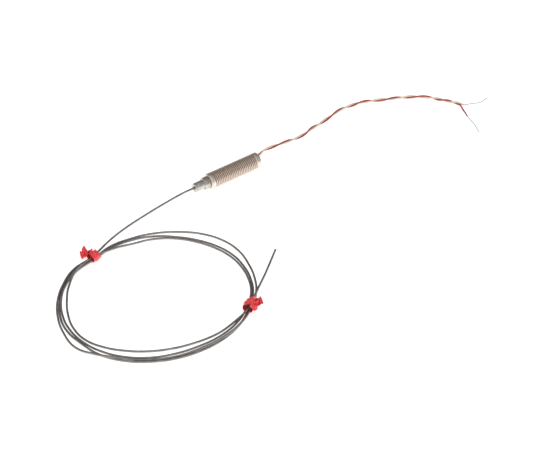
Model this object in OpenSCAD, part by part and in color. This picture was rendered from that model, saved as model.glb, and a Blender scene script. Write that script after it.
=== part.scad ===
// Threaded-pot thermocouple: a coiled mineral-insulated sheath, a threaded pot seal and two twisted tails.
// Millimetres. The pot lies on its side on z = 0 with its axis along X and its nose towards -X.
// The origin is the bottom centre of the pot.

/* [Pot] */
// Outside diameter of the thread
thread_d = 8; // [8:0.5:10]
// Pitch of the thread
thread_pitch = 1; // [0.75:0.25:1.25]
// Length of the pot over its nose
pot_length = 38; // [38:1:60]
// Plain rim in front of the thread
front_rim = 1.7; // [1:0.1:3]
// Plain rim behind the thread
rear_rim = 2.1; // [1:0.1:3]
// Diameter of the bore that holds the resin
bore_d = 5.8; // [5.6:0.1:6]

/* [Nose] */
// Diameter of the sleeve that holds the sheath
nose_d = 4.5; // [3.5:0.1:5]
// Length of that sleeve
nose_length = 5.2; // [3:0.1:6]
// Diameter of the collar behind the sleeve
collar_d = 6.1; // [5.6:0.1:7]
// Length of the collar
collar_length = 2.6; // [1.2:0.1:3]

/* [Sheath] */
// Outside diameter of the sheath
sheath_d = 1; // [0.9:0.05:1.1]
// Thickness of the sheath's wall
sheath_wall = 0.17; // [0.1:0.01:0.18]
// Diameter of each conductor in the sheath
conductor_d = 0.18; // [0.12:0.01:0.2]
// Length of the straight sensing tip
tip_length = 12; // [8:1:20]

/* [Coil] */
// Length of the oval coil, along its turns' centre
coil_length = 88; // [87:0.5:89]
// Width of the oval coil, along its turns' centre
coil_width = 79; // [78:0.5:80]
// Widest spread of the loose turns, side by side
coil_spread = 9.2; // [7:0.1:10]
// Height of the stacked turns
coil_height = 3.2; // [3:0.1:4]

/* [Tails] */
// Diameter of an insulated tail wire
tail_d = 0.9; // [0.7:0.05:0.9]
// Diameter of a tail wire's bare core
core_d = 0.3; // [0.2:0.05:0.4]

/* [Ties] */
// Width of a tie's plastic strip
tie_width = 4; // [2:0.1:4.2]
// Diameter of the bead around the tie's wire
tie_bead_d = 0.9; // [0.7:0.1:1]
// Length of a tie's twisted ends
tie_twist_length = 6; // [4:0.5:9]

/* [Hidden] */

$fn = 64;

// Pot
axis_z = thread_d / 2;
x_nose = -pot_length / 2;
x_rear = pot_length / 2;
x_collar = x_nose + nose_length;
x_neck = x_collar + collar_length;
neck_length = 0.4;
x_front = x_neck + neck_length;
front_wall = 2;
x_bore = x_front + front_wall;
rim_chamfer = 0.4;
neck_d = 5;
spigot_d = 3.2;
countersink_d = 2.4;
countersink_depth = 0.8;
resin_recess = 0.6;
thread_start = x_front + front_rim;
thread_turns = floor((x_rear - rear_rim - thread_start) / thread_pitch);
thread_margin = (x_rear - rear_rim - thread_start - thread_turns * thread_pitch) / 2;
thread_depth = 0.5413 * thread_pitch;

// Inside the pot, at stations along X; each conductor's side is its direction along Y
positive = -1;
negative = 1;
x_sheath_end = x_bore + 4.2;
x_seal = x_sheath_end - 1;
seal_length = 3;
seal_d = 2;
conductor_gap = 0.17;
x_splice = x_seal + seal_length + 4;
splice_length = 4.6;
splice_d = 0.9;
splice_bore_d = 0.32;
splice_gap = 0.85;
sleeve_d = 1.5;
sleeve_bore_d = 0.94;
sleeve_length = 7.5;
x_sleeve = x_splice - 1;
x_tail_bend = x_sleeve + sleeve_length + 1;
x_tail_straight = x_tail_bend + 5;
root_gap = 0.45;
exit_y = 1.1;
exit_z = 5.4;
exit_turn = 24;
slip = 0.02;

// Sensing tip
tip_start = [-21.4, -63.8];
tip_heading = 37.8;
cap_length = 0.5;
junction_d = 0.56;
junction_from_end = 1.4;

// Coil: the mean line of the turns is an ellipse, drawn in or out at the two ties, where the turns bunch up
coil_centre = [-72.7, -49.3];
coil_turn = -7.3;
tie_left_angle = 111;
tie_right_angle = 314;
tie_left_out = -2.1;
tie_right_out = 0.8;
tie_reach = 45;
neck_half_width = 1.5;
neck_half_angle = 3;
neck_cut = 5;
neck_slack = 0.03;
coil_step = 3;

// Ties
tie_ring_r = 2.35;
tie_ring_z = tie_ring_r + tie_bead_d / 2;
tie_web = 0.3;
tie_wire_d = 0.4;
tie_twist_wire_d = 0.6;
tie_wire_stub = 0.5;

// Routes of the free stretches, from the pot outwards
tube_sides = 8;
lead_route = [
    [x_nose, 0, axis_z], [-24, 0, 4], [-37, -1, 3.6], [-49, -2.5, 3.2],
    [-61, -4.5, 2.8], [-71, -7, 2.3], [-79.8, -10.4, 1.9]
];
tip_route = [
    [-41.3, -79.4, 2.5], [-37.3, -76.1, 2.1], [-32, -72, 1.4],
    [-26, -67.4, 0.7], [tip_start.x, tip_start.y, 0.5]
];
tail_route = [
    [x_rear, exit_y, exit_z], [21.1, 1.15, 5.5], [24, 1.5, 6.6], [28.7, 1.4, 6.5], [31.9, 1.5, 6.2],
    [36, 1.6, 5.7], [39.4, 1.7, 5.3], [43.1, 2, 4.7], [47.1, 2.5, 4.1], [51.8, 3.9, 3.3], [56.8, 6, 2.5],
    [61.3, 7.4, 1.8], [65, 8.4, 1.3], [70, 9.7, 0.9], [75.1, 10.9, 0.9], [80, 11.9, 0.9],
    [84.7, 12.5, 0.9], [89, 12.4, 0.9], [93.1, 11.4, 0.9], [99.3, 8.5, 0.9], [105.6, 5.3, 0.9],
    [112.9, 1.9, 0.9], [119, -1.5, 0.9], [123.2, -4.8, 0.9], [126.7, -8.7, 0.9], [129.6, -13.2, 0.9],
    [132.4, -17.5, 0.9], [133.7, -19.6, 0.9], [134.3, -21.5, 0.9]
];
white_end_route = [[134.73, -21.37, 0.9], [135.6, -22.6, 0.8], [136.6, -23.3, 0.7]];
white_bare_route = [[136.6, -23.3, 0.7], [139.1, -24, 0.7], [144.2, -25.9, 0.5], [149.9, -25, 0.4]];
red_end_route = [[133.87, -21.63, 0.9], [133.9, -23.5, 0.8], [132.9, -26.2, 0.6], [131.6, -28.6, 0.45]];
red_bare_route = [[131.6, -28.6, 0.45], [130.1, -32.5, 0.4], [129.1, -37.5, 0.3], [126.1, -44.8, 0.3]];

// Points that follow a route: a curve through its points, and rings around that curve
function unit(v) = v / norm(v);
function clamp_index(points, i) = points[max(0, min(len(points) - 1, i))];
function between(a, b, c, d, t) =
    b + 0.5 * t * (c - a + t * (2 * a - 5 * b + 4 * c - d + t * (3 * (b - c) + d - a)));
function steps(points, i, spacing) = max(1, ceil(norm(points[i + 1] - points[i]) / spacing));
function curve(points, spacing) = concat(
    [
        for (i = [0 : len(points) - 2])
            for (k = [0 : steps(points, i, spacing) - 1])
                between(
                    clamp_index(points, i - 1), points[i], points[i + 1],
                    clamp_index(points, i + 2), k / steps(points, i, spacing)
                )
    ],
    [points[len(points) - 1]]
);
function above_floor(points, r) = [for (p = points) [p.x, p.y, max(p.z, r)]];
function heading(points, i) = unit(clamp_index(points, i + 1) - clamp_index(points, i - 1));
function ring(centre, along, r) =
    let (side = unit(cross(along, [0, 0, 1])), up = cross(side, along), turn = 360 / tube_sides)
    [for (k = [0 : tube_sides - 1]) centre + r * (cos(turn * k) * side + sin(turn * k) * up)];

// A round tube, closed at both ends, with one ring at each point
module swept(points, d) {
    last = len(points) - 1;
    sides = tube_sides;
    rings = [for (i = [0 : last]) each ring(points[i], heading(points, i), d / 2)];
    walls = [
        for (i = [0 : last - 1])
            for (k = [0 : sides - 1])
                let (a = i * sides + k, b = i * sides + (k + 1) % sides)
                each [[a, b, a + sides], [b, b + sides, a + sides]]
    ];
    start_face = [for (k = [sides - 1 : -1 : 0]) k];
    end_face = [for (k = [0 : sides - 1]) last * sides + k];
    polyhedron(rings, concat(walls, [start_face, end_face]));
}

module free_tube(route, d, spacing) {
    swept(above_floor(curve(route, spacing), d / 2), d);
}

// A body turned about the pot's axis, from points given as [radius, station along X]
module turned(profile) {
    translate([0, 0, axis_z]) rotate([0, 90, 0]) rotate_extrude() polygon(profile);
}

module rod(x, length, d, y = 0, z = axis_z) {
    translate([x, y, z]) rotate([0, 90, 0]) cylinder(h = length, d = d);
}

// Pot
function groove(x, r) = [
    [r, x + thread_pitch / 16],
    [r - thread_depth, x + thread_pitch * 3 / 8],
    [r - thread_depth, x + thread_pitch * 5 / 8],
    [r, x + thread_pitch * 15 / 16]
];

module threaded_pot() {
    r = thread_d / 2;
    color("gainsboro") turned(concat(
        [[spigot_d / 2, x_front], [r - rim_chamfer, x_front], [r, x_front + rim_chamfer]],
        [for (i = [0 : thread_turns - 1]) each groove(thread_start + thread_margin + i * thread_pitch, r)],
        [
            [r, x_rear - rim_chamfer], [r - rim_chamfer, x_rear], [bore_d / 2, x_rear],
            [bore_d / 2, x_bore], [spigot_d / 2, x_bore]
        ]
    ));
}

module nose_bush() {
    edge = 0.3;
    color("silver") turned([
        [sheath_d / 2, x_nose + countersink_depth], [countersink_d / 2, x_nose],
        [nose_d / 2 - edge, x_nose], [nose_d / 2, x_nose + edge], [nose_d / 2, x_collar],
        [collar_d / 2 - edge, x_collar], [collar_d / 2, x_collar + edge],
        [collar_d / 2, x_neck - edge], [collar_d / 2 - edge, x_neck], [neck_d / 2, x_neck],
        [neck_d / 2, x_front], [spigot_d / 2, x_front], [spigot_d / 2, x_bore],
        [sheath_d / 2, x_bore]
    ]);
}

module braze_fillet() {
    rise = 0.7;
    reach = rise * (countersink_d - sheath_d) / 2;
    color("dimgray") turned([
        [sheath_d / 2, x_nose + countersink_depth],
        [sheath_d / 2 + reach, x_nose + countersink_depth * (1 - rise)],
        [sheath_d / 2, x_nose + 0.1]
    ]);
}

module potting_resin() {
    color("wheat") difference() {
        rod(x_bore, x_rear - resin_recess - x_bore, bore_d);
        rod(x_bore - 1, x_sheath_end - x_bore + 1, sheath_d + slip);
        rod(x_seal, seal_length, seal_d + slip);
        for (side = [-1, 1]) {
            swept(conductor_path(side), conductor_d + slip);
            rod(x_sleeve, sleeve_length, sleeve_d + slip, side * splice_gap);
            swept(tail_path(side, x_sleeve + sleeve_length - 1, x_rear + 1), tail_d + slip);
        }
    }
}

// Sheath's end inside the pot, its packing, seal and conductors
module sheath_pot_end() {
    color("lightslategray") difference() {
        rod(x_nose, x_sheath_end - x_nose, sheath_d);
        rod(x_nose - 1, x_sheath_end - x_nose + 2, sheath_d - 2 * sheath_wall);
    }
}

module mineral_packing_pot_end() {
    color("white") difference() {
        rod(x_nose, x_sheath_end - x_nose, sheath_d - 2 * sheath_wall);
        for (side = [-1, 1])
            rod(x_nose - 1, x_sheath_end - x_nose + 2, conductor_d, side * conductor_gap);
    }
}

module end_seal() {
    color("darkkhaki") difference() {
        rod(x_seal, seal_length, seal_d);
        rod(x_seal - 1, x_sheath_end - x_seal + 1, sheath_d);
        for (side = [-1, 1])
            rod(x_seal, seal_length + 1, conductor_d, side * conductor_gap);
    }
}

function conductor_path(side) = [
    [x_nose, side * conductor_gap, axis_z],
    [x_seal + seal_length, side * conductor_gap, axis_z],
    [x_splice - 1.5, side * splice_gap, axis_z],
    [x_splice + splice_length / 2 - 0.1, side * splice_gap, axis_z]
];

module conductor(side) {
    swept(conductor_path(side), conductor_d);
}

module conductor_positive() {
    color("dimgray") conductor(positive);
}

module conductor_negative() {
    color("tan") conductor(negative);
}

module splice(side) {
    color("peru") difference() {
        rod(x_splice, splice_length, splice_d, side * splice_gap);
        rod(x_splice - 1, splice_length + 2, splice_bore_d, side * splice_gap);
    }
}

module splice_positive() {
    splice(positive);
}

module splice_negative() {
    splice(negative);
}

module splice_sleeve(side) {
    difference() {
        rod(x_sleeve, sleeve_length, sleeve_d, side * splice_gap);
        rod(x_sleeve - 1, sleeve_length + 2, sleeve_bore_d, side * splice_gap);
    }
}

module splice_sleeve_positive() {
    color("ivory") splice_sleeve(positive);
}

module splice_sleeve_negative() {
    color("ivory") splice_sleeve(negative);
}

// Tails' roots inside the resin: each runs straight, crosses to the exit and leaves straight
function tail_exit(side) = [
    exit_y + side * root_gap * cos(exit_turn), exit_z + side * root_gap * sin(exit_turn)
];
function tail_path(side, from, to) = [
    [from, side * splice_gap, axis_z], [x_tail_bend, side * splice_gap, axis_z],
    [x_tail_straight, tail_exit(side)[0], tail_exit(side)[1]], [to, tail_exit(side)[0], tail_exit(side)[1]]
];

module tail_core(side) {
    swept(tail_path(side, x_splice + splice_length / 2 + 0.1, x_rear), core_d);
}

module tail_core_positive() {
    color("dimgray") tail_core(positive);
}

module tail_core_negative() {
    color("tan") tail_core(negative);
}

module tail_root(side) {
    difference() {
        swept(tail_path(side, x_splice + splice_length + 0.2, x_rear), tail_d);
        swept(tail_path(side, x_splice, x_rear + 1), core_d + slip);
    }
}

module tail_root_white() {
    color("antiquewhite") tail_root(positive);
}

module tail_root_red() {
    color("firebrick") tail_root(negative);
}

// Free sheath: the lead to the coil, the coil's envelope and the run to the tip
module sheath_lead() {
    color("lightslategray") free_tube(lead_route, sheath_d, 3.5 * sheath_d);
}

module sheath_tip() {
    color("lightslategray") free_tube(tip_route, sheath_d, 3 * sheath_d);
}

function turned_by(p, angle) = [
    p.x * cos(angle) - p.y * sin(angle), p.x * sin(angle) + p.y * cos(angle)
];
function coil_out(angle) =
    turned_by(unit([coil_width * cos(angle), coil_length * sin(angle)]), coil_turn);
function pull(angle, tie) =
    let (away = abs((angle - tie + 540) % 360 - 180)) away < tie_reach ? (1 + cos(180 * away / tie_reach)) / 2 : 0;
function tie_shift(angle) =
    tie_left_out * pull(angle, tie_left_angle) + tie_right_out * pull(angle, tie_right_angle);
function coil_point(angle, out = 0) =
    coil_centre + (out + tie_shift(angle)) * coil_out(angle)
    + turned_by([coil_length / 2 * cos(angle), coil_width / 2 * sin(angle)], coil_turn);
function span_share(angle, from, to) =
    (angle - from - neck_half_angle) / (to - from - 2 * neck_half_angle);
function swell(share) =
    neck_half_width + (coil_spread / 2 - neck_half_width) * sqrt(sin(180 * max(0, min(1, share))));
function half_spread(angle) = angle < tie_right_angle
    ? swell(span_share(angle, tie_left_angle, tie_right_angle))
    : swell(span_share(angle, tie_right_angle, tie_left_angle + 360));
function coil_edge(way) = [
    for (angle = [tie_left_angle : coil_step : tie_left_angle + 360 - coil_step])
        coil_point(angle, way * half_spread(angle))
];

module at_tie(angle) {
    p = coil_point(angle);
    out = coil_out(angle);
    translate([p.x, p.y, 0]) rotate(atan2(out.y, out.x)) children();
}

module sheath_coil() {
    color("lightslategray") difference() {
        linear_extrude(coil_height) difference() {
            polygon(coil_edge(1));
            polygon(coil_edge(-1));
        }
        for (angle = [tie_left_angle, tie_right_angle]) at_tie(angle) difference() {
            translate([-3, -neck_cut / 2, -1]) cube([6, neck_cut, coil_height + 2]);
            translate([0, neck_cut, tie_ring_z]) rotate([90, 0, 0])
                cylinder(h = 2 * neck_cut, r = tie_ring_r - tie_bead_d / 2 - neck_slack);
        }
    }
}

// Sensing tip, drawn along X and laid along the end of the route
module at_tip() {
    translate([tip_start.x, tip_start.y, sheath_d / 2]) rotate(tip_heading) rotate([0, 90, 0]) children();
}

module tip_tube() {
    color("lightslategray") at_tip() difference() {
        cylinder(h = tip_length - cap_length, d = sheath_d);
        translate([0, 0, -1]) cylinder(h = tip_length + 1, d = sheath_d - 2 * sheath_wall);
    }
}

module tip_cap() {
    edge = 0.15;
    color("silver") at_tip() translate([0, 0, tip_length - cap_length]) rotate_extrude() polygon([
        [0, 0], [sheath_d / 2, 0], [sheath_d / 2, cap_length - edge],
        [sheath_d / 2 - edge, cap_length], [0, cap_length]
    ]);
}

module mineral_packing_tip() {
    color("white") at_tip() difference() {
        cylinder(h = tip_length - cap_length, d = sheath_d - 2 * sheath_wall);
        for (side = [-1, 1])
            translate([0, side * conductor_gap, -1])
                cylinder(h = tip_length - junction_from_end + 1, d = conductor_d);
        translate([0, 0, tip_length - junction_from_end]) sphere(d = junction_d);
    }
}

module hot_junction() {
    color("gray") at_tip() translate([0, 0, tip_length - junction_from_end]) sphere(d = junction_d);
}

module tip_conductor(side) {
    at_tip() difference() {
        translate([0, side * conductor_gap, 0]) cylinder(h = tip_length - junction_from_end, d = conductor_d);
        translate([0, 0, tip_length - junction_from_end]) sphere(d = junction_d);
    }
}

module tip_conductor_positive() {
    color("dimgray") tip_conductor(positive);
}

module tip_conductor_negative() {
    color("tan") tip_conductor(negative);
}

// Free tails: the twisted pair's envelope and the four pieces of its parted ends
module tail_pair() {
    color("indianred") free_tube(tail_route, 2 * tail_d, 8 * tail_d);
}

module tail_end_white() {
    color("antiquewhite") free_tube(white_end_route, tail_d, 3 * tail_d);
}

module tail_end_red() {
    color("firebrick") free_tube(red_end_route, tail_d, 3 * tail_d);
}

module bare_end_white() {
    color("dimgray") free_tube(white_bare_route, core_d, 5);
}

module bare_end_red() {
    color("tan") free_tube(red_bare_route, core_d, 5);
}

// Ties: a ring around the bunched turns and a twist of the two ends
module tie_twist_place(rise, swing) {
    translate([tie_ring_r * cos(rise), 0, tie_ring_z + tie_ring_r * sin(rise)])
        rotate([0, 90 - rise, swing]) children();
}

module tie_wire(angle, rise, swing) {
    at_tie(angle) {
        translate([0, 0, tie_ring_z]) rotate([90, 0, 0]) rotate_extrude()
            translate([tie_ring_r, 0]) circle(d = tie_wire_d);
        tie_twist_place(rise, swing) cylinder(h = tie_twist_length + tie_wire_stub, d = tie_twist_wire_d);
    }
}

module tie_strip(angle, rise, swing) {
    difference() {
        at_tie(angle) {
            translate([0, 0, tie_ring_z]) rotate([90, 0, 0]) rotate_extrude() translate([tie_ring_r, 0]) {
                circle(d = tie_bead_d);
                square([tie_web, tie_width], center = true);
            }
            tie_twist_place(rise, swing) cylinder(h = tie_twist_length, d = tie_width);
        }
        at_tie(angle) translate([0, 2, tie_ring_z]) rotate([90, 0, 0])
            cylinder(h = 4, r = tie_ring_r - tie_bead_d / 2);
        tie_wire(angle, rise, swing);
    }
}

module tie_left_strip() {
    color("crimson") tie_strip(tie_left_angle, 15, 25);
}

module tie_left_wire() {
    color("gray") tie_wire(tie_left_angle, 15, 25);
}

module tie_right_strip() {
    color("crimson") tie_strip(tie_right_angle, 48, 0);
}

module tie_right_wire() {
    color("gray") tie_wire(tie_right_angle, 48, 0);
}

threaded_pot();
nose_bush();
braze_fillet();
potting_resin();
sheath_pot_end();
mineral_packing_pot_end();
end_seal();
conductor_positive();
conductor_negative();
splice_positive();
splice_negative();
splice_sleeve_positive();
splice_sleeve_negative();
tail_core_positive();
tail_core_negative();
tail_root_white();
tail_root_red();
sheath_lead();
sheath_coil();
sheath_tip();
tip_tube();
tip_cap();
mineral_packing_tip();
hot_junction();
tip_conductor_positive();
tip_conductor_negative();
tail_pair();
tail_end_white();
tail_end_red();
bare_end_white();
bare_end_red();
tie_left_strip();
tie_left_wire();
tie_right_strip();
tie_right_wire();
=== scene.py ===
"""Threaded-pot thermocouple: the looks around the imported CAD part. Metres, +Z up."""

import math

import bmesh
import bpy
from mathutils import Matrix, Vector, noise


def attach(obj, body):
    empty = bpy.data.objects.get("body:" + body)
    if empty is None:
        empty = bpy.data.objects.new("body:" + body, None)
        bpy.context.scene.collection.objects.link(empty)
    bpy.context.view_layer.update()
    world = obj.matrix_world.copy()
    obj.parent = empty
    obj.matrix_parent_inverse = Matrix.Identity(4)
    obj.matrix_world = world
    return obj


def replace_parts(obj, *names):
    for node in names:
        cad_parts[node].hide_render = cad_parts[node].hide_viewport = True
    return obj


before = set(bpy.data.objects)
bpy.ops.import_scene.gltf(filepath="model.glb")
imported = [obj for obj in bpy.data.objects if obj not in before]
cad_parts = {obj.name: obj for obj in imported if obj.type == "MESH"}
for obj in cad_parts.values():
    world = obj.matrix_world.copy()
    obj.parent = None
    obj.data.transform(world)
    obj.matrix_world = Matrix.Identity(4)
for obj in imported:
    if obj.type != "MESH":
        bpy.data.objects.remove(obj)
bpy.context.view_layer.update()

MM = 0.001
DIAMETER = 1.0 * MM  # the sheath's
TAIL = 0.9 * MM  # an insulated tail wire's
CORE = 0.3 * MM  # its bare core's
POT_AXIS = Vector((0, 0, 4 * MM))
THREAD_START, THREAD_END = -9.1, 16.9  # along X, in millimetres


# ---- Camera -------------------------------------------------------------------------------------

def aim(obj, place, target):
    obj.location = place
    obj.rotation_mode = "QUATERNION"
    obj.rotation_quaternion = (target - place).to_track_quat("-Z", "Y")


def add(name, data):
    obj = bpy.data.objects.new(name, data)
    bpy.context.scene.collection.objects.link(obj)
    return obj


camera_data = bpy.data.cameras.new("camera")
camera_data.lens = 100
camera_data.sensor_width = 36
camera_data.clip_start = 0.01
camera_data.clip_end = 20
camera = add("camera", camera_data)
LOOK_AT = Vector((-0.0032, -0.0403, 0))
VIEW_SIDE = (-0.595, -0.804)  # the level direction from the object to the camera
ELEVATION = math.radians(40)
DISTANCE = 0.709
level = math.cos(ELEVATION)
back = Vector((VIEW_SIDE[0] * level, VIEW_SIDE[1] * level, math.sin(ELEVATION)))
aim(camera, LOOK_AT + DISTANCE * back.normalized(), LOOK_AT)
bpy.context.scene.camera = camera


# ---- Materials ----------------------------------------------------------------------------------

def rgb(red, green, blue):
    """An 8-bit display colour as linear RGBA."""
    def linear(value):
        value /= 255
        return value / 12.92 if value <= 0.04045 else ((value + 0.055) / 1.055) ** 2.4
    return (linear(red), linear(green), linear(blue), 1)


class Nodes:
    """A material's node tree, with short calls for the few kinds of node used here."""

    def __init__(self, name):
        self.material = bpy.data.materials.new(name)
        self.material.use_nodes = True
        self.tree = self.material.node_tree
        self.shader = self.tree.nodes["Principled BSDF"]
        self.place = self.tree.nodes.new("ShaderNodeTexCoord").outputs["Object"]

    def link(self, source, target):
        self.tree.links.new(source, target)

    def noise(self, scale, detail):
        node = self.tree.nodes.new("ShaderNodeTexNoise")
        node.inputs["Scale"].default_value = scale
        node.inputs["Detail"].default_value = detail
        node.inputs["Roughness"].default_value = 0.6
        self.link(self.place, node.inputs["Vector"])
        return node.outputs["Fac"]

    def spread(self, value, low, high, start=0.3, end=0.7):
        """A value between start and end, spread evenly from low to high. Most noise lies in 0.3 to 0.7."""
        node = self.tree.nodes.new("ShaderNodeMapRange")
        node.inputs["From Min"].default_value = start
        node.inputs["From Max"].default_value = end
        node.inputs["To Min"].default_value = low
        node.inputs["To Max"].default_value = high
        self.link(value, node.inputs["Value"])
        return node.outputs["Result"]

    def ramp(self, value, stops):
        node = self.tree.nodes.new("ShaderNodeValToRGB")
        ramp = node.color_ramp
        while len(ramp.elements) < len(stops):
            ramp.elements.new(0.5)
        for element, (position, colour) in zip(ramp.elements, stops):
            element.position = position
            element.color = colour
        self.link(value, node.inputs["Fac"])
        return node.outputs["Color"]

    def mix(self, share, first, second):
        node = self.tree.nodes.new("ShaderNodeMix")
        node.data_type = "RGBA"
        self.link(share, node.inputs["Factor"])
        self.link(first, node.inputs[6])  # the colour inputs, which share their names with other types
        self.link(second, node.inputs[7])
        return node.outputs[2]

    def math(self, kind, first, second=None):
        node = self.tree.nodes.new("ShaderNodeMath")
        node.operation = kind
        for socket, value in zip(node.inputs, (first, second)):
            if value is None:
                continue
            if isinstance(value, (int, float)):
                socket.default_value = value
            else:
                self.link(value, socket)
        return node.outputs[0]

    def bump(self, height, distance):
        node = self.tree.nodes.new("ShaderNodeBump")
        node.inputs["Strength"].default_value = 0.5
        node.inputs["Distance"].default_value = distance
        self.link(height, node.inputs["Height"])
        self.link(node.outputs["Normal"], self.shader.inputs["Normal"])

    def set(self, **values):
        names = {"metallic": "Metallic", "coat": "Coat Weight", "subsurface": "Subsurface Weight"}
        for key, value in values.items():
            self.shader.inputs[names[key]].default_value = value
        if "subsurface" in values:
            self.shader.inputs["Subsurface Radius"].default_value = (1, 0.5, 0.4)
            self.shader.inputs["Subsurface Scale"].default_value = 0.4 * MM


def finish_material(name, clean, worn, rough, grain, metallic=0.0, fine=9000, depth=0.02, **more):
    """A colour that varies from clean to worn, with patchy roughness and a fine bumpy surface.
    grain and fine are the noises' scales per metre, and depth is the bump's height in millimetres."""
    nodes = Nodes(name)
    patches = nodes.noise(grain, 5)
    middle = tuple((a + b) / 2 for a, b in zip(clean, worn))
    colour = nodes.ramp(patches, [(0.36, clean), (0.52, middle), (0.68, worn)])
    nodes.link(colour, nodes.shader.inputs["Base Color"])
    smears = nodes.noise(grain * 3.1, 4)
    nodes.link(nodes.spread(smears, rough[0], rough[1]), nodes.shader.inputs["Roughness"])
    nodes.bump(nodes.noise(fine, 3), depth * MM)
    nodes.set(metallic=metallic, **more)
    return nodes.material


def plated_thread(name):
    """Nickel plate on brass: bright on the crests, warm and dull down in the grooves."""
    darkest_radius, clear = 3.5 * MM, 3.93 * MM  # the radii where the darker, warmer groove colour is full and where it ends
    uneven = 0.35 * MM  # how far its edge wanders
    nodes = Nodes(name)
    parts = nodes.tree.nodes.new("ShaderNodeSeparateXYZ")
    nodes.link(nodes.place, parts.inputs[0])
    across = nodes.math("POWER", parts.outputs["Y"], 2)
    above = nodes.math("POWER", nodes.math("SUBTRACT", parts.outputs["Z"], POT_AXIS.z), 2)
    radius = nodes.math("SQRT", nodes.math("ADD", across, above))
    patches = nodes.noise(420, 5)
    lifted = nodes.math("ADD", radius, nodes.math("MULTIPLY", nodes.math("SUBTRACT", patches, 0.5), uneven))
    from_middle = nodes.math("SUBTRACT", parts.outputs["X"], (THREAD_START + THREAD_END) / 2 * MM)
    half_thread = (THREAD_END - THREAD_START) / 2 * MM
    plain = nodes.math("GREATER_THAN", nodes.math("ABSOLUTE", from_middle), half_thread)
    crest = nodes.math("MAXIMUM", nodes.spread(lifted, 0, 1, darkest_radius, clear), plain)
    plate = nodes.ramp(patches, [
        (0.3, rgb(238, 231, 224)), (0.55, rgb(228, 217, 207)), (0.75, rgb(212, 196, 182)),
    ])
    # a darker, warmer colour down in the grooves, set by the distance from the axis and mixed with the plate
    # by crest
    groove_colour = nodes.ramp(nodes.noise(900, 4), [(0.3, rgb(150, 122, 102)), (0.7, rgb(180, 152, 130))])
    nodes.link(nodes.mix(crest, groove_colour, plate), nodes.shader.inputs["Base Color"])
    dull = nodes.spread(nodes.noise(1500, 4), 0.2, 0.42)
    nodes.link(nodes.math("ADD", dull, nodes.math("MULTIPLY", nodes.math("SUBTRACT", 1.0, crest), 0.18)),
               nodes.shader.inputs["Roughness"])
    nodes.bump(nodes.noise(7000, 3), 0.02 * MM)
    nodes.set(metallic=1.0)
    return nodes.material


SHEATH = finish_material("sheath_steel", rgb(171, 168, 166), rgb(147, 143, 141), (0.46, 0.6), 260, 1.0,
                         fine=7000, depth=0.008)
PLATED = plated_thread("plated_metal")
NOSE = finish_material("nose_metal", rgb(218, 214, 210), rgb(180, 173, 167), (0.24, 0.42), 600, 1.0)
BRAZE = finish_material("braze", rgb(150, 140, 126), rgb(88, 80, 72), (0.35, 0.6), 2200, 1.0, depth=0.05)
MINERAL = finish_material("mineral", rgb(238, 236, 230), rgb(214, 210, 202), (0.8, 0.95), 3000, depth=0.05)
RESIN = finish_material("resin", rgb(226, 206, 158), rgb(196, 168, 116), (0.12, 0.3), 700,
                        depth=0.03, coat=0.4, subsurface=0.15)
SEAL = finish_material("seal_glass", rgb(190, 186, 140), rgb(150, 146, 104), (0.08, 0.2), 1200, coat=0.5)
POSITIVE = finish_material("positive_alloy", rgb(150, 148, 146), rgb(104, 100, 98), (0.3, 0.5), 900, 1.0)
NEGATIVE = finish_material("negative_alloy", rgb(176, 166, 152), rgb(122, 112, 100), (0.3, 0.5), 900, 1.0)
BARE = finish_material("bare_alloy", rgb(124, 122, 120), rgb(98, 96, 94), (0.4, 0.6), 900, 1.0)
SPLICE = finish_material("splice_metal", rgb(206, 150, 110), rgb(150, 100, 70), (0.25, 0.45), 1100, 1.0)
SLEEVING = finish_material("sleeving", rgb(240, 236, 224), rgb(216, 208, 190), (0.5, 0.7), 1500, depth=0.04)
WHITE = finish_material("white_insulation", rgb(232, 220, 202), rgb(212, 198, 178), (0.3, 0.5), 420,
                        depth=0.02, coat=0.2, subsurface=0.2)
RED = finish_material("red_insulation", rgb(184, 74, 70), rgb(152, 50, 50), (0.28, 0.46), 420,
                      depth=0.02, coat=0.2, subsurface=0.1)
# dark grey metal for a short stretch, thicker than the core, at the start of the red wire's bare core
DARK_END_METAL = finish_material("dark_end_metal", rgb(96, 92, 90), rgb(60, 56, 54), (0.45, 0.65), 1300, 1.0)
PLASTIC = finish_material("tie_plastic", rgb(244, 78, 80), rgb(226, 48, 58), (0.25, 0.45), 800,
                          fine=2600, depth=0.06, coat=0.35, subsurface=0.15)
TIE_WIRE = finish_material("tie_wire", rgb(150, 150, 152), rgb(98, 98, 102), (0.3, 0.5), 1200, 1.0)

CARRIED_OVER = {
    "braze_fillet": BRAZE, "potting_resin": RESIN, "sheath_pot_end": SHEATH,
    "mineral_packing_pot_end": MINERAL, "end_seal": SEAL,
    "conductor_positive": POSITIVE, "conductor_negative": NEGATIVE,
    "splice_positive": SPLICE, "splice_negative": SPLICE,
    "splice_sleeve_positive": SLEEVING, "splice_sleeve_negative": SLEEVING,
    "tail_core_positive": POSITIVE, "tail_core_negative": NEGATIVE,
    "tail_root_white": WHITE, "tail_root_red": RED, "tip_cap": SHEATH,
    "mineral_packing_tip": MINERAL, "hot_junction": POSITIVE,
    "tip_conductor_positive": POSITIVE, "tip_conductor_negative": NEGATIVE,
}
for node, look in CARRIED_OVER.items():
    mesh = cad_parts[node].data
    mesh.materials.clear()
    mesh.materials.append(look)


# ---- Shapes -------------------------------------------------------------------------------------

def finish_piece(obj, material):
    obj.data.materials.append(material)
    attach(obj, "root")
    return obj


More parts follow.
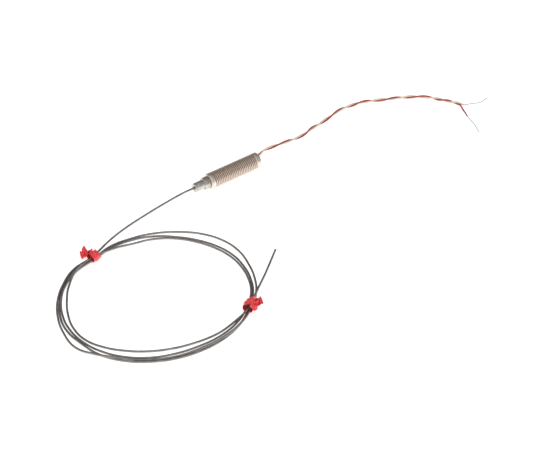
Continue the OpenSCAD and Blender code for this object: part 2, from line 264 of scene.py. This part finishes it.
def curve_piece(name, points, diameter, material, radii=None, sides=4):
    """A round wire along one smooth spline through the points, never below the surface it lies on."""
    data = bpy.data.curves.new(name, "CURVE")
    data.dimensions = "3D"
    data.resolution_u = 5
    data.bevel_depth = diameter / 2
    data.bevel_resolution = sides
    data.use_fill_caps = True
    spline = data.splines.new("BEZIER")
    spline.bezier_points.add(len(points) - 1)
    for i, (knot, point) in enumerate(zip(spline.bezier_points, points)):
        knot.co = point
        knot.handle_left_type = knot.handle_right_type = "AUTO"
        knot.radius = 1 if radii is None else radii[i]
    for knot in spline.bezier_points:  # AUTO has made each handle, and FREE lets it be lifted
        knot.handle_left_type = knot.handle_right_type = "FREE"
        for handle in (knot.handle_left, knot.handle_right):
            handle.z = max(handle.z, diameter / 2)
    return finish_piece(add(name, data), material)


def mesh_piece(name, vertices, faces, material, sharp):
    """A smooth mesh, creased where its faces meet at more than the sharp angle, in degrees."""
    mesh = bpy.data.meshes.new(name)
    mesh.from_pydata([tuple(v) for v in vertices], [], faces)
    work = bmesh.new()
    work.from_mesh(mesh)
    bmesh.ops.remove_doubles(work, verts=work.verts, dist=0.0005 * MM)
    bmesh.ops.dissolve_degenerate(work, edges=work.edges, dist=0.0002 * MM)
    bmesh.ops.recalc_face_normals(work, faces=work.faces)
    work.to_mesh(mesh)
    work.free()
    mesh.shade_smooth()
    mesh.set_sharp_from_angle(angle=math.radians(sharp))
    return finish_piece(add(name, mesh), material)


def rounded(profile, radius):
    """A profile's corners cut back and rounded, in the same units as the profile."""
    made, steps = [], 4
    for i, corner in enumerate(profile):
        corner = Vector(corner)
        before = Vector(profile[i - 1]) - corner
        after = Vector(profile[(i + 1) % len(profile)]) - corner
        reach = min(radius, before.length * 0.45, after.length * 0.45)
        start = corner + before.normalized() * reach
        end = corner + after.normalized() * reach
        for k in range(steps + 1):
            t = k / steps
            made.append((1 - t) ** 2 * start + 2 * t * (1 - t) * corner + t * t * end)
    return made


TURNS = 96


def ring_row(x, radius):
    """A ring of points about the pot's axis."""
    row = []
    for j in range(TURNS):
        angle = 2 * math.pi * j / TURNS
        row.append(Vector((x, radius * math.cos(angle), POT_AXIS.z + radius * math.sin(angle))))
    return row


def lathe(profile, closed=True):
    """Vertices and faces of a body turned about the pot's axis, from (x, radius) pairs in millimetres."""
    vertices = []
    for x, radius in profile:
        vertices += ring_row(x * MM, radius * MM)
    faces = []
    rows = len(profile)
    for i in range(rows if closed else rows - 1):
        for j in range(TURNS):
            a, b = i * TURNS + j, i * TURNS + (j + 1) % TURNS
            below = (i + 1) % rows * TURNS
            faces.append((a, b, below + (j + 1) % TURNS, below + j))
    return vertices, faces


def catmull(points, spacing):
    """A smooth line through the points, with a point about every spacing."""
    made = []
    last = len(points) - 1
    for i in range(last):
        a, b, c, d = (points[max(0, min(last, i + k))] for k in (-1, 0, 1, 2))
        count = max(1, math.ceil((c - b).length / spacing))
        for k in range(count):
            t = k / count
            made.append(b + 0.5 * t * (c - a + t * (2 * a - 5 * b + 4 * c - d + t * (3 * (b - c) + d - a))))
    made.append(points[last].copy())
    return made


def metres(route):
    return [Vector(p) * MM for p in route]


# ---- Sheath: the lead, the loose coil and the straight tip -------------------------------------------

# The coil's mean line is an ellipse, in millimetres, and places on it are angles in degrees
COIL_CENTRE = Vector((-72.7, -49.3))
COIL_LENGTH = 88
COIL_WIDTH = 79
COIL_TURN = math.radians(-7.3)
LEFT_TIE, LEFT_OUT = 111, -2.1  # each tie's angle, and how far it draws the mean line out
RIGHT_TIE, RIGHT_OUT = 314, 0.8
TIE_REACH = 45  # the angle over which that draw fades
TIE_RING = 2.35
TIE_BEAD = 0.9
TIE_Z = TIE_RING + TIE_BEAD / 2
TIP_START = Vector((-21.4, -63.8))
TIP_HEADING = math.radians(37.8)
TIP_BARREL = 11.5  # the straight length up to the tip's closed end
LEAD_ROUTE = [
    (-19, 0, 4), (-21.5, 0, 4), (-24, 0, 4), (-37, -1, 3.6), (-49, -2.5, 3.2), (-61, -4.5, 2.8),
    (-71, -7, 2.3), (-79.8, -10.4, 1.9),
]
TIP_ROUTE = [
    (-41.3, -79.4, 2.5), (-37.3, -76.1, 2.1), (-32, -72, 1.4), (-26, -67.4, 0.7), (-21.4, -63.8, 0.5),
]

# Where each turn lies: its angle in degrees, and how far outside the coil's mean line, in millimetres
SWINGS = [
    (111, 0.93), (117, 2.2), (126, 2.5), (134, 1.7), (143, 1.1), (151, 0.95), (158, 1.2), (169, 1.6),
    (183.5, 2.6), (191, 3.4), (199, 4.0), (207, 3.3), (216, 2.1), (227, 1.3), (241.5, 1.0),
    (268.5, 1.3), (296, 1.7), (314, 0.93),
    (353.5, 1.3), (375.5, 3.0), (393.5, 3.4), (413.5, 2.4), (422, 2.0), (441, 1.8), (452, 1.75),
    (460, 1.6), (471, 0.0), (486, 1.5), (494, 1.1), (503.5, 0.5), (514, 0.1), (529, 0.5), (543.5, 0.8),
    (558, 0.6), (572.5, 1.7), (587, 2.1), (601.5, 2.1), (628.5, 2.2), (656, 1.4), (674, 0.0),
    (713.5, -1.1), (735.5, -1.3), (753.5, -1.7), (773.5, -1.3), (782, -0.7), (794, 0.1), (804, 0.6),
    (815, 0.6), (831, -0.93), (846, 0.5), (854, 0.2), (863.5, -0.1), (872, -0.5), (895.5, -0.65),
    (923.5, -0.4), (953.5, -0.2), (988.5, -0.8), (1016, -0.4), (1034, -0.93),
    (1073.5, -2.3), (1095.5, -2.9), (1113.5, -3.2), (1133.5, -2.5), (1146, -2.2), (1161, -2.2),
    (1174, -1.0), (1191, -0.1), (1203, 0.6), (1211, -0.3), (1220, -1.3), (1234, -3.0), (1247, -3.1),
    (1263, -2.4), (1278, -2.1), (1292.5, -3.0), (1307, -3.9), (1321.5, -4.2), (1336, -4.1),
    (1350.5, -3.5), (1376, -1.6), (1394, 0.45),
]
# How high the sheath lies inside the ties, in millimetres, in the order that it passes them
TIE_HEIGHTS = {111: 1.82, 314: 1.82, 471: 1.45, 674: 1.45, 831: 1.82, 1034: 1.82, 1191: 2.5, 1394: 2.65}
LAST_ANGLE = 1394
LEFT_STEPS, RIGHT_STEPS = 14, 11  # points from the left tie to the right one, and back to it
EASE = 28  # the angle over which the sheath comes down beside a tie
RANK = {0: 1, 1: 0, 2: 2, 3: 3}  # each turn's place in the pile, from the bottom
LYING = DIAMETER / MM / 2  # the height of a turn that lies on the surface
STACKED = 1.04  # how far apart two turns lie that touch


def turned(x, y, angle):
    return Vector((x * math.cos(angle) - y * math.sin(angle), x * math.sin(angle) + y * math.cos(angle)))


def coil_out(degrees):
    angle = math.radians(degrees)
    return turned(COIL_WIDTH * math.cos(angle), COIL_LENGTH * math.sin(angle), COIL_TURN).normalized()


def tie_shift(degrees):
    """How far the ties draw the mean line out or in."""
    total = 0
    for station, out in ((LEFT_TIE, LEFT_OUT), (RIGHT_TIE, RIGHT_OUT)):
        away = abs((degrees - station + 180) % 360 - 180)
        if away < TIE_REACH:
            total += out * (1 + math.cos(math.pi * away / TIE_REACH)) / 2
    return total


def coil_point(degrees, out=0.0):
    angle = math.radians(degrees)
    out += tie_shift(degrees)
    on_line = turned(COIL_LENGTH / 2 * math.cos(angle), COIL_WIDTH / 2 * math.sin(angle), COIL_TURN)
    return COIL_CENTRE + on_line + out * coil_out(degrees)


def swing(degrees):
    """How far out the sheath lies at an angle: a smooth line through SWINGS."""
    for i in range(len(SWINGS) - 1):
        (start, first), (end, last) = SWINGS[i], SWINGS[i + 1]
        if start <= degrees <= end:
            before = SWINGS[max(0, i - 1)]
            after = SWINGS[min(len(SWINGS) - 1, i + 2)]
            t = (degrees - start) / (end - start)
            slope_first = (last - before[1]) / (end - before[0]) * (end - start)
            slope_last = (after[1] - first) / (after[0] - start) * (end - start)
            return ((2 * t ** 3 - 3 * t ** 2 + 1) * first + (t ** 3 - 2 * t ** 2 + t) * slope_first
                    + (3 * t ** 2 - 2 * t ** 3) * last + (t ** 3 - t ** 2) * slope_last)
    return SWINGS[-1][1]


def rest_height(degrees):
    """Height of a turn that lies on nothing: on the surface, and lifted near a tie."""
    height = LYING
    for station, lifted in TIE_HEIGHTS.items():
        away = abs(degrees - station) / EASE
        if away < 1:
            height = max(height, LYING + (lifted - LYING) * (1 - away) ** 2 * (1 + 2 * away))
    return height


def coil_points():
    """The coil's points in the order of travel. Turns that come close lie on each other."""
    one_turn = [LEFT_TIE + (RIGHT_TIE - LEFT_TIE) * i / LEFT_STEPS for i in range(LEFT_STEPS)]
    one_turn += [RIGHT_TIE + (360 + LEFT_TIE - RIGHT_TIE) * i / RIGHT_STEPS for i in range(RIGHT_STEPS)]
    heights = {}
    for start in one_turn:
        strands = [start + 360 * k for k in range(4) if start + 360 * k <= LAST_ANGLE]
        strands.sort(key=lambda a: (round(rest_height(a), 2), RANK[int((a - start) // 360)]))
        placed = []
        for angle in strands:
            out, height = swing(angle), rest_height(angle)
            if angle not in TIE_HEIGHTS:
                for other, level in placed:
                    gap = abs(out - other)
                    if gap < STACKED:
                        height = max(height, level + math.sqrt(STACKED ** 2 - gap ** 2))
            placed.append((out, height))
            heights[angle] = height
    return [Vector((*coil_point(a, swing(a)), heights[a])) * MM for a in sorted(heights)]


tip_direction = Vector((math.cos(TIP_HEADING), math.sin(TIP_HEADING)))
tip_end = TIP_START + TIP_BARREL * tip_direction
sheath_points = (
    metres(LEAD_ROUTE) + coil_points() + metres(TIP_ROUTE)
    + metres([(*(TIP_START + 6 * tip_direction), LYING), (*tip_end, LYING)])
)
sheath = curve_piece("sheath", sheath_points, DIAMETER, SHEATH, sides=5)
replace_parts(sheath, "sheath_lead", "sheath_coil", "sheath_tip", "tip_tube")


# ---- Tails: two insulated wires twisted together, parted and stripped at the end ----------------------

TAIL_ROUTE = [
    (19, 1.1, 5.4), (21.1, 1.15, 5.5), (24, 1.5, 6.6), (28.7, 1.4, 6.5), (31.9, 1.5, 6.2), (36, 1.6, 5.7),
    (39.4, 1.7, 5.3), (43.1, 2, 4.7), (47.1, 2.5, 4.1), (51.8, 3.9, 3.3), (56.8, 6, 2.5), (61.3, 7.4, 1.8),
    (65, 8.4, 1.3), (70, 9.7, 0.9), (75.1, 10.9, 0.9), (80, 11.9, 0.9), (84.4, 12.1, 0.9), (88.4, 11.6, 0.9),
    (92.8, 11, 0.9), (99.3, 8.5, 0.9), (105.6, 5.3, 0.9), (112.9, 1.9, 0.9), (119, -1.5, 0.9),
    (123.2, -4.8, 0.9), (126.7, -8.7, 0.9), (129.6, -13.2, 0.9), (132.4, -17.5, 0.9), (133.7, -19.6, 0.9),
    (134.3, -21.5, 0.9),
]
WHITE_END = [(135.6, -22.6, 0.8), (136.6, -23.3, 0.7)]
WHITE_BARE = [(136.6, -23.3, 0.7), (139.1, -24, 0.7), (144.2, -25.9, 0.5), (149.9, -25, 0.4)]
RED_END = [(133.4, -23.2, 0.8), (132.4, -25.9, 0.6), (131.6, -28.6, 0.45)]
RED_BARE = [(131.6, -28.6, 0.45), (130.1, -32.5, 0.4), (129.1, -37.5, 0.3), (126.1, -44.8, 0.3)]
# The white wire's place around the pair, in degrees, against the distance along it, in millimetres
TWIST = [
    (0, -24), (5.1, 48), (24.5, 405), (46.4, 770), (68.2, 1127), (83.2, 1480), (99.4, 1840), (115.7, 2201),
    (130.8, 2700),
]
TWIST_RADIUS = 0.45
TWIST_STEP = 1.25
DARK_END_DIAMETER, DARK_END_LENGTH = 0.6 * MM, 3.0  # the dark grey stretch's diameter at the start of the red wire's bare core, and its length in millimetres


def twist_angle(along):
    for (start, first), (end, last) in zip(TWIST, TWIST[1:]):
        if along <= end:
            return first + (last - first) * (along - start) / (end - start)
    return TWIST[-1][1]


def tail_points(half_turn):
    """One wire's points around the pair's own line."""
    line = catmull(metres(TAIL_ROUTE), 0.2 * MM)
    made, along, due = [], 0.0, 0.0
    for i, point in enumerate(line):
        if i:
            along += (point - line[i - 1]).length / MM
        if along < due and i < len(line) - 1:
            continue
        due += TWIST_STEP
        heading = (line[min(i + 1, len(line) - 1)] - line[max(i - 1, 0)]).normalized()
        side = heading.cross(Vector((0, 0, 1))).normalized()
        up = side.cross(heading)
        angle = math.radians(twist_angle(along) + half_turn)
        made.append(point + TWIST_RADIUS * MM * (math.cos(angle) * side + math.sin(angle) * up))
    if (made[-1] - made[-2]).length < 0.5 * TWIST_STEP * MM:
        del made[-2]
    return made


def tail(name, points, bare_route, insulation, nodes, dark_end=False):
    """An insulated wire and its bare core. The insulation is drawn in a little where it was stripped."""
    radii = [1.0] * (len(points) - 1) + [0.9]
    wire = curve_piece(name, points, TAIL, insulation, radii)
    bare = curve_piece(name + "_bare", metres(bare_route), CORE, BARE, sides=3)
    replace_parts(wire, *nodes[:2])
    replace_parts(bare, nodes[2])
    # a dark grey sleeve, thicker than the core, over the bare core's first few millimetres
    if dark_end:
        line = catmull(metres(bare_route), 0.3 * MM)
        dark_stretch = [p for p in line if (p - line[0]).length < DARK_END_LENGTH * MM]
        narrowing = [1.0] * (len(dark_stretch) - 1) + [0.6]
        cover = curve_piece(name + "_dark_end", dark_stretch, DARK_END_DIAMETER, DARK_END_METAL, narrowing)
        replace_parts(cover, nodes[2])


tail("tail_white", tail_points(0) + metres(WHITE_END), WHITE_BARE, WHITE,
     ["tail_pair", "tail_end_white", "bare_end_white"])
tail("tail_red", tail_points(180) + metres(RED_END), RED_BARE, RED,
     ["tail_pair", "tail_end_red", "bare_end_red"], dark_end=True)


# ---- Pot: a helical thread between two plain rims ------------------------------------------------------

# All in millimetres, X along the pot's axis
R = 4.0
BORE_RADIUS, NECK_RADIUS = 2.9, 1.6
X_FRONT, X_BORE, X_REAR = -10.8, -8.8, 19.0
PITCH = 1.0
DEPTH = 0.5413
CHAMFER = 0.4
# One groove as shares of the pitch and of the depth, from one crest to the next
THREAD_PROFILE = [
    (-0.055, 0), (0.055, 0), (0.085, 0.05), (0.36, 0.93), (0.42, 1), (0.58, 1), (0.64, 0.93), (0.915, 0.05),
]
FADE = 0.8 * PITCH  # the length over which the groove fades in and out


def thread_surface():
    """Rows of points that climb one pitch a turn. Rows outside the thread lie on its first or last ring."""
    period = len(THREAD_PROFILE)
    rows = (math.ceil((THREAD_END - THREAD_START) / PITCH) + 3) * period
    vertices = []
    for i in range(rows):
        turn, (share, deep) = i // period, THREAD_PROFILE[i % period]
        for j in range(TURNS):
            raw = THREAD_START + PITCH * (turn - 1 + share + j / TURNS)
            x = max(THREAD_START, min(THREAD_END, raw))
            runout = min(1, (x - THREAD_START) / FADE, (THREAD_END - x) / FADE)
            runout = runout * runout * (3 - 2 * runout)
            radius = R - DEPTH * deep * runout
            angle = 2 * math.pi * j / TURNS
            vertices.append(Vector((x, radius * math.cos(angle), R + radius * math.sin(angle))) * MM)
    faces = []
    for i in range(rows - 1 - period):
        for j in range(TURNS):
            a, b = i * TURNS + j, (i + 1) * TURNS + j
            if j < TURNS - 1:
                faces.append((a, a + 1, b + 1, b))
            else:
                faces.append((a, (i + period) * TURNS, (i + 1 + period) * TURNS, b))
    return vertices, faces


def pot():
    """The thread, closed by the rear rim, the bore, the neck and the front rim."""
    vertices, faces = thread_surface()
    edge, ease = 0.09, 0.02  # how far each corner is cut back, and how far its middle is eased
    outline = [
        (THREAD_END, R), (X_REAR - CHAMFER - edge, R), (X_REAR - CHAMFER, R - ease),
        (X_REAR - CHAMFER + edge, R - edge), (X_REAR - edge, R - CHAMFER + edge),
        (X_REAR - ease, R - CHAMFER), (X_REAR, R - CHAMFER - edge),
        (X_REAR, BORE_RADIUS + edge), (X_REAR - ease, BORE_RADIUS + 0.03), (X_REAR - edge, BORE_RADIUS),
        (X_BORE, BORE_RADIUS), (X_BORE, NECK_RADIUS), (X_FRONT, NECK_RADIUS),
        (X_FRONT, R - CHAMFER - edge), (X_FRONT + ease, R - CHAMFER),
        (X_FRONT + edge, R - CHAMFER + edge), (X_FRONT + CHAMFER - edge, R - edge),
        (X_FRONT + CHAMFER, R - ease), (X_FRONT + CHAMFER + edge, R), (THREAD_START, R),
    ]
    more, sides = lathe(outline, closed=False)
    shift = len(vertices)
    faces += [tuple(v + shift for v in face) for face in sides]
    body = mesh_piece("pot", vertices + more, faces, PLATED, 32)
    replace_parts(body, "threaded_pot")


pot()


def nose():
    """The sleeve, the collar and the neck that holds them in the pot, around the sheath."""
    profile = [
        (-18.2, 0.5), (-19.0, 1.2), (-19.0, 2.25), (-13.8, 2.25), (-13.8, 3.05), (-11.2, 3.05), (-11.2, 2.5),
        (X_FRONT, 2.5), (X_FRONT, NECK_RADIUS), (X_BORE, NECK_RADIUS), (X_BORE, 0.5),
    ]
    vertices, faces = lathe(rounded(profile, 0.22))
    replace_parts(mesh_piece("nose", vertices, faces, NOSE, 40), "nose_bush")


nose()


def resin_meniscus():
    """A thin skin over the resin's rear face: it climbs a little at the bore and around each wire."""
    wires = [Vector((0.689, 5.217)), Vector((1.511, 5.583))]  # (y, z) where each tail comes out
    rings, outer = 22, 2.88  # the skin ends just inside the bore
    face = 18.43  # its x, clear of the resin's flat rear face
    at_bore, at_wire = 0.22, 0.2  # how high the resin climbs, and over what distance
    vertices = []
    for i in range(rings + 1):
        radius = outer * i / rings
        for j in range(TURNS):
            angle = 2 * math.pi * j / TURNS
            y, z = radius * math.cos(angle), radius * math.sin(angle) + R
            lift = at_bore * math.exp(-(BORE_RADIUS - radius) / at_bore)
            for wire in wires:
                away = max(0, (Vector((y, z)) - wire).length - TAIL / MM / 2)
                lift = max(lift, at_wire * math.exp(-away / at_wire))
            ripple = 0.03 * noise.noise(Vector((y, z, 0)) * 0.9)
            vertices.append(Vector((face + lift + ripple, y, z)) * MM)
    faces = []
    for i in range(rings):
        for j in range(TURNS):
            a, b = i * TURNS + j, i * TURNS + (j + 1) % TURNS
            faces.append((a, a + TURNS, b + TURNS, b))
    mesh_piece("resin_skin", vertices, faces, RESIN, 60)


resin_meniscus()


# ---- Ties: plastic strips with a wire inside, wrapped round the turns and twisted ---------------------

WEB = 2.15  # half the strip's width, in millimetres
# Half of a strip's section, from edge to edge over the wire: shares of WEB across, millimetres thick
UPPER = [
    (1.0, 0.0), (0.97, 0.09), (0.5, 0.11), (0.3, 0.18), (0.2, 0.32), (0.09, 0.42), (0.0, 0.45),
    (-0.09, 0.42), (-0.2, 0.32), (-0.3, 0.18), (-0.5, 0.11), (-0.97, 0.09), (-1.0, 0.0),
]
SECTION = UPPER + [(across, -thick) for across, thick in reversed(UPPER[1:-1])]
TWIST_GAP = 0.75  # from the ring to where the twisted end starts
STRAND_STEPS = 46
RING_STEPS = 60


def tie_path(rise, swing_out, turns, length, lean):
    """Points, strip directions and widths along a tie, in its own frame: X outwards, Y along the sheath.
    rise and swing_out are where its twisted end points, in degrees, and turns and length are that end's."""
    rise, swing_out = math.radians(rise), math.radians(swing_out)
    level, upright = math.cos(rise), math.sin(rise)
    radial = Vector((level, 0, upright))
    along_ring = Vector((-upright, 0, level))
    axis = Vector((level * math.cos(swing_out), level * math.sin(swing_out), upright))
    other = axis.cross(along_ring).normalized()
    side = other.cross(axis).normalized()
    centre = Vector((0, 0, TIE_Z))
    root = centre + (TIE_RING + TWIST_GAP) * radial
    path, across, widths = [], [], []

    def strand(phase, outwards):
        for k in range(STRAND_STEPS + 1):
            t = k / STRAND_STEPS if outwards else 1 - k / STRAND_STEPS
            angle = phase + turns * 2 * math.pi * t
            radius = 0.42 + 1.1 * math.sin(math.pi * t ** 0.6)
            crumple = 0.7 * math.sin(8 * t + 2 * phase + lean)
            normal = math.cos(angle) * side + math.sin(angle) * other
            tangent = -math.sin(angle) * side + math.cos(angle) * other
            path.append(root + (length - TWIST_GAP) * t * axis + radius * normal)
            across.append((math.cos(crumple) * tangent + math.sin(crumple) * normal).normalized())
            widths.append((0.7 + 0.3 * min(1, 4 * t)) * (1 - 0.15 * t))

    strand(0, False)
    for k in range(1, RING_STEPS):
        angle = math.radians(16) + (2 * math.pi - math.radians(32)) * k / RING_STEPS
        place = math.cos(rise + angle) * Vector((1, 0, 0)) + math.sin(rise + angle) * Vector((0, 0, 1))
        squeeze = min(k, RING_STEPS - k) / RING_STEPS
        drift = 0.25 * math.cos(angle / 2)
        path.append(centre + TIE_RING * place + Vector((0, drift, 0)))
        across.append(Vector((0, 1, 0)))
        widths.append(min(1, 0.55 + 3 * squeeze))
    strand(math.pi, True)
    return path, across, widths


def tidy_directions(path, across):
    """Each strip direction squared to the path, facing the same way as the one before it."""
    made = []
    for i, direction in enumerate(across):
        heading = (path[min(i + 1, len(path) - 1)] - path[max(i - 1, 0)]).normalized()
        direction = (direction - direction.dot(heading) * heading).normalized()
        if made and direction.dot(made[-1][0]) < 0:
            direction = -direction
        made.append((direction, heading))
    return made


def tie(name, angle, rise, swing_out, turns, length, lean, seed, nodes):
    """A strip swept along its smoothed path, with crumpled edges, and a wire end at each end of it."""
    path, across, widths = tie_path(rise, swing_out, turns, length, lean)
    for _ in range(2):
        path = [path[0]] + [(a + 2 * b + c) / 4 for a, b, c in zip(path, path[1:], path[2:])] + [path[-1]]
    directions = tidy_directions(path, across)
    for _ in range(3):
        smooth = [directions[0][0]] + [
            (directions[i - 1][0] + 2 * directions[i][0] + directions[i + 1][0]).normalized()
            for i in range(1, len(directions) - 1)
        ] + [directions[-1][0]]
        directions = tidy_directions(path, smooth)
    place = Vector((*coil_point(angle), 0))
    out = coil_out(angle)
    frame_matrix = Matrix((
        (out.x, -out.y, 0, place.x), (out.y, out.x, 0, place.y), (0, 0, 1, 0), (0, 0, 0, 1),
    ))
    vertices = []
    count = len(SECTION)
    for i, (point, (direction, heading), width) in enumerate(zip(path, directions, widths)):
        thickness = heading.cross(direction)
        for share, thick in SECTION:
            reach = WEB * width * share
            if abs(share) > 0.3:  # the web, beside the wire
                wave = noise.noise(Vector((i * 0.16, math.copysign(3, share), seed)))
                reach *= 1 + 0.3 * noise.noise(Vector((i * 0.4, math.copysign(9, share), seed)))
                curl = 0.75 * (abs(share) - 0.3) * wave * (1.6 - widths[i])
            else:
                curl = 0
            spot = frame_matrix @ (point + reach * direction + (thick + curl) * thickness)
            spot.z = max(spot.z, 0.04)
            vertices.append(spot * MM)
    faces = []
    for i in range(len(path) - 1):
        for k in range(count):
            a, b = i * count + k, i * count + (k + 1) % count
            faces.append((a, b, b + count, a + count))
    faces.append(tuple(range(count - 1, -1, -1)))
    faces.append(tuple(range((len(path) - 1) * count, len(path) * count)))
    strip = mesh_piece(name + "_strip", vertices, faces, PLASTIC, 50)
    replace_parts(strip, nodes[0])
    ends = []
    for k, (a, b) in enumerate(((path[0], path[1]), (path[-1], path[-2]))):
        heading = (a - b).normalized()
        stray = Vector((noise.noise(Vector((k, 1, seed))), noise.noise(Vector((k, 5, seed))), 0.3))
        bent = heading + 0.25 * stray
        ends.append([a - 0.6 * heading, a, a + 0.45 * heading, a + 0.45 * heading + 0.4 * bent.normalized()])
    for k, points in enumerate(ends):
        points = [frame_matrix @ p * MM for p in points]
        stub = curve_piece(f"{name}_wire_{k + 1}", points, 0.4 * MM, TIE_WIRE, sides=3)
        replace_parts(stub, nodes[1])


tie("tie_left", LEFT_TIE, -4, 28, 1.35, 4.6, 0.3, 1.7, ["tie_left_strip", "tie_left_wire"])
tie("tie_right", RIGHT_TIE, 42, 0, 1.2, 4.2, -0.3, 6.1, ["tie_right_strip", "tie_right_wire"])


# ---- Stage and light -----------------------------------------------------------------------------------

def stage():
    """A floor that glows a little, so that it shows as plain white."""
    half = 1.5
    mesh = bpy.data.meshes.new("floor")
    corners = [(-half, -half, 0), (half, -half, 0), (half, half, 0), (-half, half, 0)]
    mesh.from_pydata(corners, [], [(0, 1, 2, 3)])
    floor = add("floor", mesh)
    paper = finish_material("floor", rgb(236, 236, 236), rgb(232, 232, 232), (0.85, 0.95), 6,
                            fine=400, depth=0.01)
    shader = paper.node_tree.nodes["Principled BSDF"]
    shader.inputs["Emission Color"].default_value = (1, 1, 1, 1)
    shader.inputs["Emission Strength"].default_value = 0.66
    mesh.materials.append(paper)


def area(name, place, target, size, power, in_metal=True):
    data = bpy.data.lights.new(name, "AREA")
    data.shape = "RECTANGLE"
    data.size, data.size_y = size
    data.energy = power
    light = add(name, data)
    aim(light, Vector(place), Vector(target))
    light.visible_glossy = in_metal


def lights():
    """A grey room that is brighter on the camera's side, a wide ceiling light and a small box light."""
    scene = bpy.context.scene
    scene.view_settings.view_transform = "Standard"
    scene.view_settings.look = "None"
    world = bpy.data.worlds.new("studio")
    scene.world = world
    world.use_nodes = True
    tree = world.node_tree
    sky = tree.nodes["Background"]
    direction = tree.nodes.new("ShaderNodeTexCoord")
    facing = tree.nodes.new("ShaderNodeVectorMath")
    facing.operation = "DOT_PRODUCT"
    facing.inputs[1].default_value = (*VIEW_SIDE, 0)
    tree.links.new(direction.outputs["Generated"], facing.inputs[0])
    shade = tree.nodes.new("ShaderNodeValToRGB")
    shade.color_ramp.elements[0].color = (0.22, 0.215, 0.22, 1)
    shade.color_ramp.elements[1].color = (0.85, 0.84, 0.82, 1)
    half = shade.color_ramp.elements.new(0.5)
    half.color = (0.36, 0.355, 0.355, 1)
    spread = tree.nodes.new("ShaderNodeMapRange")
    spread.inputs["From Min"].default_value = -1
    tree.links.new(facing.outputs["Value"], spread.inputs["Value"])
    tree.links.new(spread.outputs["Result"], shade.inputs["Fac"])
    tree.links.new(shade.outputs["Color"], sky.inputs["Color"])
    sky.inputs["Strength"].default_value = 1
    middle = (0, -0.03, 0)
    area("ceiling", (0, -0.03, 1.6), middle, (2.4, 2.4), 12, in_metal=False)
    area("top_box", (-0.12, -0.2, 0.9), middle, (0.25, 0.25), 0.8)


stage()
lights()
